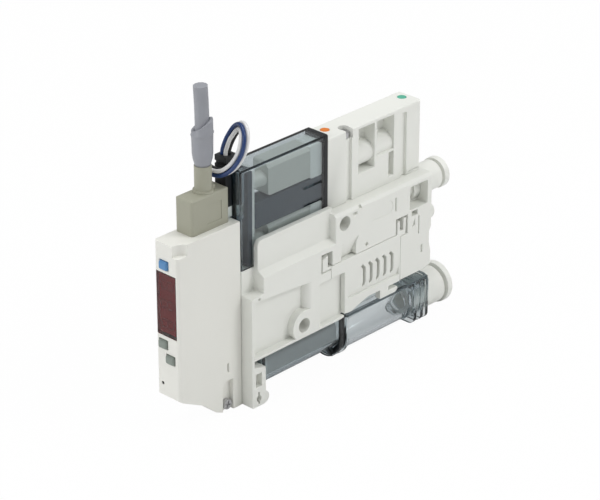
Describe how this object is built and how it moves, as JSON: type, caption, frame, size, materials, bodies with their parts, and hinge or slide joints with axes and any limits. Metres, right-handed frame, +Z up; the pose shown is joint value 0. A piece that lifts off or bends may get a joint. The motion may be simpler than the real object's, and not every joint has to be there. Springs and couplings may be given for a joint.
{
  "type": "vacuum ejector",
  "caption": "Slim vacuum ejector with valve, pressure switch, clear suction filter and push-in tube ports, for feeding suction cups on a robot tool.",
  "frame": {"origin": "centre of the bottom of the box round the unit, without its free cable and leads", "axes": "+X towards the ports at the back, -Y the near side with the exhaust slots, +Z up towards the valve"},
  "size_m": [0.115, 0.015, 0.1019],
  "materials": {
    "white_resin": "satin moulded resin",
    "valve_resin": "satin moulded resin",
    "switch_resin": "satin moulded resin",
    "inner_resin": "satin moulded resin",
    "coil_resin": "satin moulded resin",
    "black_resin": "satin moulded resin",
    "smoke": "smoky clear resin",
    "clear": "clear grey resin",
    "felt": "sintered fibre",
    "filter_media": "fine fibre",
    "rubber": "moulded rubber",
    "brass": "turned",
    "steel": "plated",
    "spool_metal": "ground",
    "display": "dark red window",
    "blue_key": "satin",
    "grey_key": "satin",
    "orange": "satin",
    "green": "satin",
    "board": "solder mask",
    "beige_resin": "soft moulded",
    "cable_jacket": "soft vinyl",
    "wire_white": "vinyl",
    "wire_blue": "vinyl",
    "wire_black": "vinyl"
  },
  "bodies": {
    "ejector": {"ejector_body": "white_resin", "exhaust_cover": "white_resin", "silencer": "felt", "nozzle": "brass", "diffuser": "brass", "check_valve": "rubber", "valve_body": "valve_resin", "end_plug": "valve_resin", "port_seals": "rubber", "hood": "smoke", "adapter_frame": "black_resin", "supply_solenoid": "coil_resin", "release_solenoid": "coil_resin", "supply_pilot": "inner_resin", "release_pilot": "inner_resin", "contact_carrier": "inner_resin", "terminal_pins": "brass", "valve_connector": "black_resin", "lead_white": "wire_white", "lead_blue": "wire_blue", "lead_black": "wire_black", "lead_white_2": "wire_white", "switch_case": "switch_resin", "display_window": "display", "led_display": "black_resin", "circuit_board": "board", "pressure_sensor": "steel", "switch_screw": "steel", "cable_plug": "beige_resin", "cable_sleeve": "cable_jacket", "sensor_cable": "cable_jacket", "filter_case": "clear", "filter_element": "filter_media", "filter_cap": "inner_resin", "filter_seal": "rubber", "vacuum_housing": "clear", "supply_fitting": "white_resin", "vacuum_fitting": "white_resin", "port_clip": "white_resin", "pilot_plug": "white_resin", "coil_frame": "black_resin"},
    "set_key": {"set_key": "blue_key"},
    "up_key": {"up_key": "grey_key"},
    "down_key": {"down_key": "grey_key"},
    "supply_override": {"supply_override": "orange"},
    "release_override": {"release_override": "green"},
    "needle_screw": {"needle_screw": "steel"},
    "supply_spool": {"supply_spool": "spool_metal"},
    "release_spool": {"release_spool": "spool_metal"},
    "supply_collar": {"supply_collar": "valve_resin"},
    "vacuum_collar": {"vacuum_collar": "valve_resin"}
  },
  "joints": [
    {"name": "set_key_press", "type": "slide", "parent": "ejector", "child": "set_key", "axis": [1, 0, 0], "range_m": [0, 0.0004], "stiffness_N_per_m": 400},
    {"name": "up_key_press", "type": "slide", "parent": "ejector", "child": "up_key", "axis": [1, 0, 0], "range_m": [0, 0.0004], "stiffness_N_per_m": 400},
    {"name": "down_key_press", "type": "slide", "parent": "ejector", "child": "down_key", "axis": [1, 0, 0], "range_m": [0, 0.0004], "stiffness_N_per_m": 400},
    {"name": "supply_override_press", "type": "slide", "parent": "ejector", "child": "supply_override", "axis": [0, 0, -1], "range_m": [0, 0.0008], "stiffness_N_per_m": 500},
    {"name": "release_override_press", "type": "slide", "parent": "ejector", "child": "release_override", "axis": [0, 0, -1], "range_m": [0, 0.0008], "stiffness_N_per_m": 500},
    {"name": "needle_turn", "type": "hinge", "parent": "ejector", "child": "needle_screw", "pos_m": [0.0131, -0.0009, 0.0716], "axis": [0, 0, 1], "range_deg": [-720, 720]},
    {"name": "supply_spool_shift", "type": "slide", "parent": "ejector", "child": "supply_spool", "axis": [1, 0, 0], "range_m": [0, 0.0012], "stiffness_N_per_m": 600},
    {"name": "release_spool_shift", "type": "slide", "parent": "ejector", "child": "release_spool", "axis": [1, 0, 0], "range_m": [0, 0.0012], "stiffness_N_per_m": 600},
    {"name": "supply_collar_press", "type": "slide", "parent": "ejector", "child": "supply_collar", "axis": [-1, 0, 0], "range_m": [0, 0.0008], "stiffness_N_per_m": 800},
    {"name": "vacuum_collar_press", "type": "slide", "parent": "ejector", "child": "vacuum_collar", "axis": [-1, 0, 0], "range_m": [0, 0.0008], "stiffness_N_per_m": 800}
  ]
}
